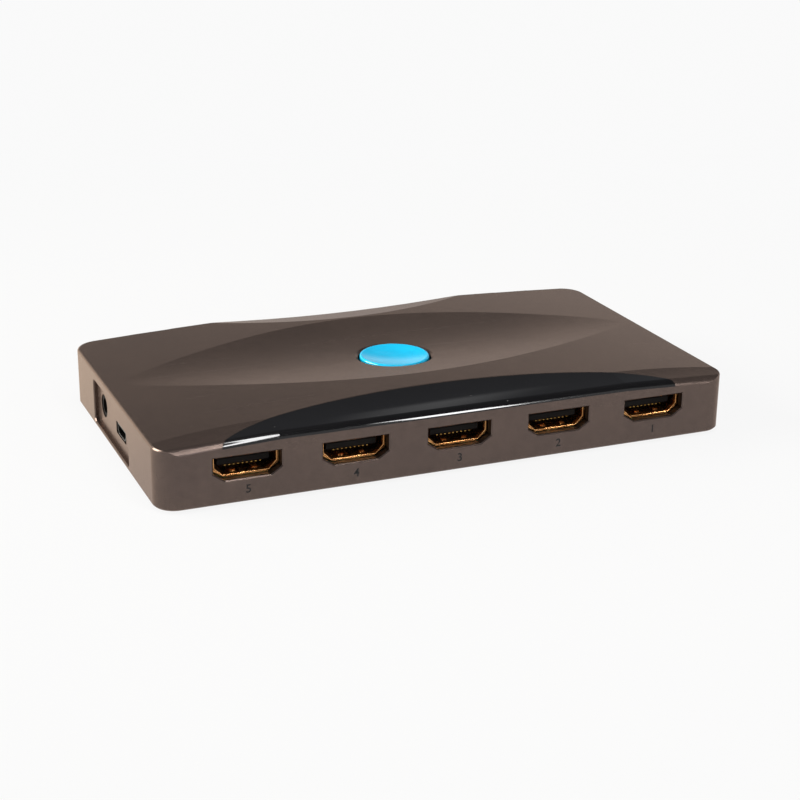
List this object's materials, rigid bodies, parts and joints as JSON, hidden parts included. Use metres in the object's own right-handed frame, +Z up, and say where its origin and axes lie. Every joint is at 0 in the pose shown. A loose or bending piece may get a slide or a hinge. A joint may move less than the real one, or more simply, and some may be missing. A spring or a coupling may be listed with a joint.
{
  "type": "video switch box",
  "caption": "Low rounded desktop box with a row of picture sockets along the front and a round push button on its gently dished roof.",
  "frame": {"origin": "middle of the case in plan, on the surface that the rubber feet stand on", "axes": "+X to the right along the row of front sockets, +Y to the rear, +Z up"},
  "size_m": [0.14, 0.078, 0.0169],
  "materials": {
    "case_satin": "satin dark bronze metallic coat",
    "smoked_window": "mirror gloss black",
    "cover_black": "fine grained matt",
    "foot_rubber": "matt",
    "screw_steel": "black oxide",
    "board": "satin solder mask",
    "bright_metal": "bright nickel",
    "socket_metal": "gold plated",
    "contact_metal": "gold plated",
    "black_moulding": "moulded",
    "can_aluminium": "bright",
    "button_blue": "satin gloss",
    "lamp": "clear over phosphor",
    "clear_acrylic": "clear",
    "chip": "moulded",
    "ceramic": "fired"
  },
  "bodies": {
    "case": {"bottom_cover": "cover_black", "capacitors": "can_aluminium", "case_screws": "screw_steel", "circuit_board": "board", "control_chip": "chip", "crystal": "bright_metal", "indicator_lamps": "lamp", "indicator_window": "smoked_window", "input_1_block": "black_moulding", "input_1_contacts": "contact_metal", "input_1_shell": "socket_metal", "input_2_block": "black_moulding", "input_2_contacts": "contact_metal", "input_2_shell": "socket_metal", "input_3_block": "black_moulding", "input_3_contacts": "contact_metal", "input_3_shell": "socket_metal", "input_4_block": "black_moulding", "input_4_contacts": "contact_metal", "input_4_shell": "socket_metal", "input_5_block": "black_moulding", "input_5_contacts": "contact_metal", "input_5_shell": "socket_metal", "jack_body": "black_moulding", "jack_bush": "bright_metal", "jack_contacts": "bright_metal", "light_guide": "clear_acrylic", "output_block": "black_moulding", "output_contacts": "contact_metal", "output_shell": "socket_metal", "power_block": "black_moulding", "power_contacts": "contact_metal", "power_shell": "bright_metal", "regulator": "chip", "rubber_feet": "foot_rubber", "small_parts": "ceramic", "switch_base": "black_moulding", "switch_chip": "chip", "switch_cover": "bright_metal", "switch_dome": "bright_metal", "switch_terminals": "bright_metal", "top_shell": "case_satin"},
    "button": {"select_button": "button_blue", "switch_plunger": "black_moulding"}
  },
  "joints": [
    {"name": "button_press", "type": "slide", "parent": "case", "child": "button", "axis": [0, 0, -1], "range_m": [0, 0.0003], "stiffness_N_per_m": 4000, "deforming": ["switch_dome"]}
  ]
}
